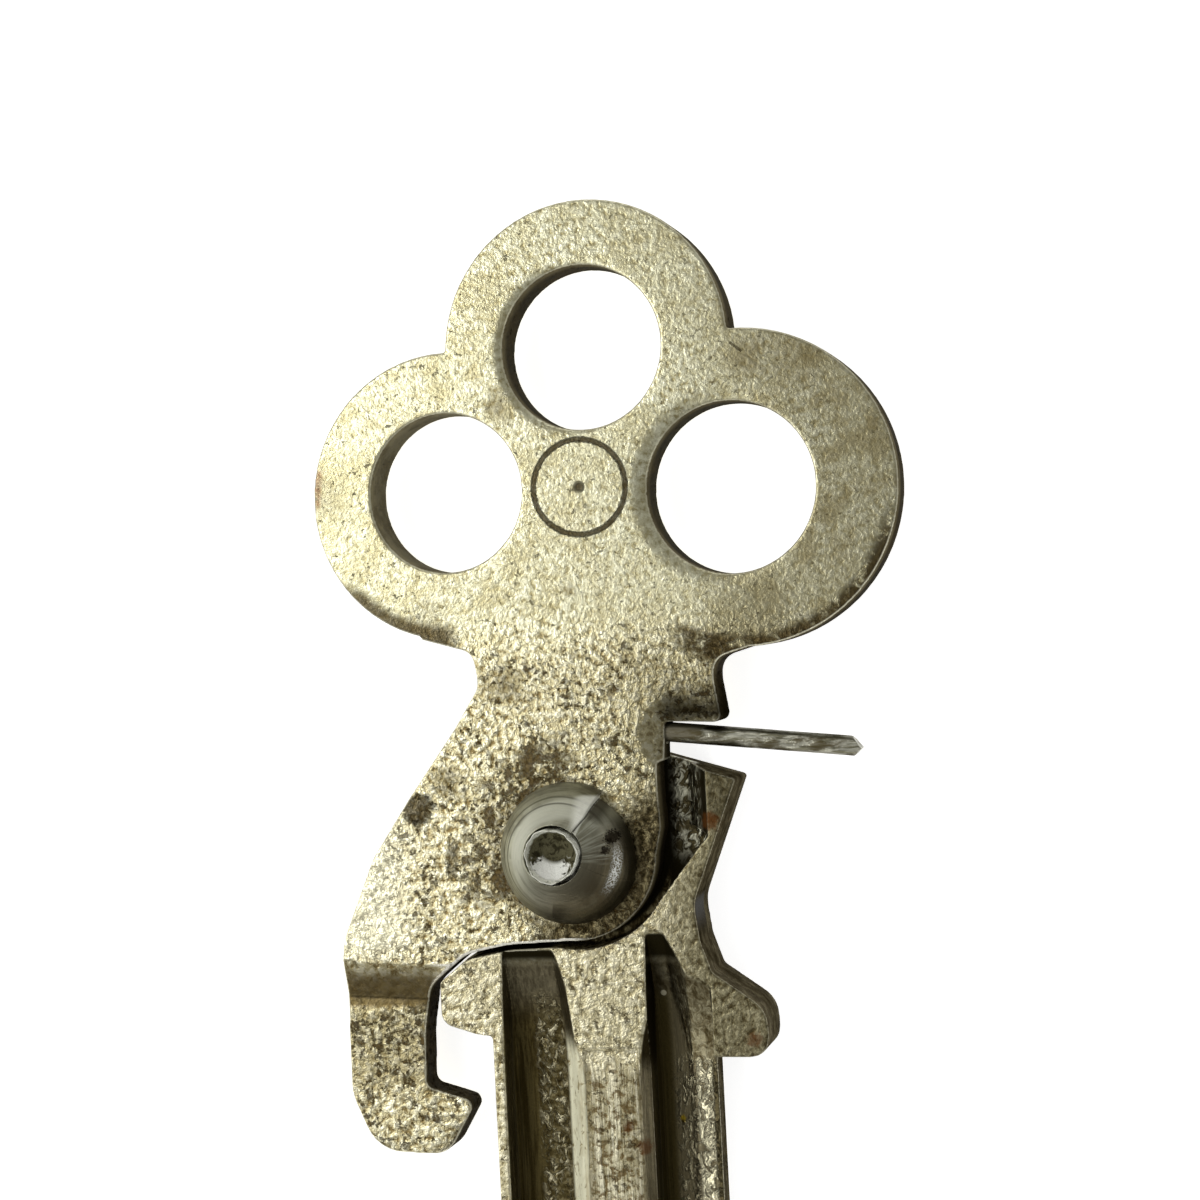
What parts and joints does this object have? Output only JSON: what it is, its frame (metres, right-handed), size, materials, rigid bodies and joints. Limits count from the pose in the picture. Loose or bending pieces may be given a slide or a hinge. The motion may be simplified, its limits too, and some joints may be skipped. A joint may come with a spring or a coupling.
{
  "type": "folding key blank",
  "caption": "Uncut key blank with a trefoil bow riveted to a grooved blade, a side hook and a spring wire.",
  "frame": {"origin": "on the rivet's axis, at the blade's back face", "axes": "+Y along the blade towards the bow, +Z along the rivet towards its domed washer, +X towards the spring wire"},
  "size_m": [0.0227, 0.0608, 0.0049],
  "materials": {
    "blade": "milled nickel silver, worn and pitted",
    "bow": "stamped nickel silver, worn and pitted",
    "washer": "turned steel, satin",
    "rivet": "worn steel, satin",
    "spring": "drawn steel, rust stained"
  },
  "bodies": {
    "blade": {"blade": "blade", "washer": "washer", "rivet": "rivet"},
    "bow": {"bow": "bow", "spring": "spring"}
  },
  "joints": [
    {"name": "bow_pivot", "type": "hinge", "parent": "blade", "child": "bow", "pos_m": [0, 0, 0.0024], "axis": [0, 0, 1], "range_deg": [-10, 1]}
  ]
}
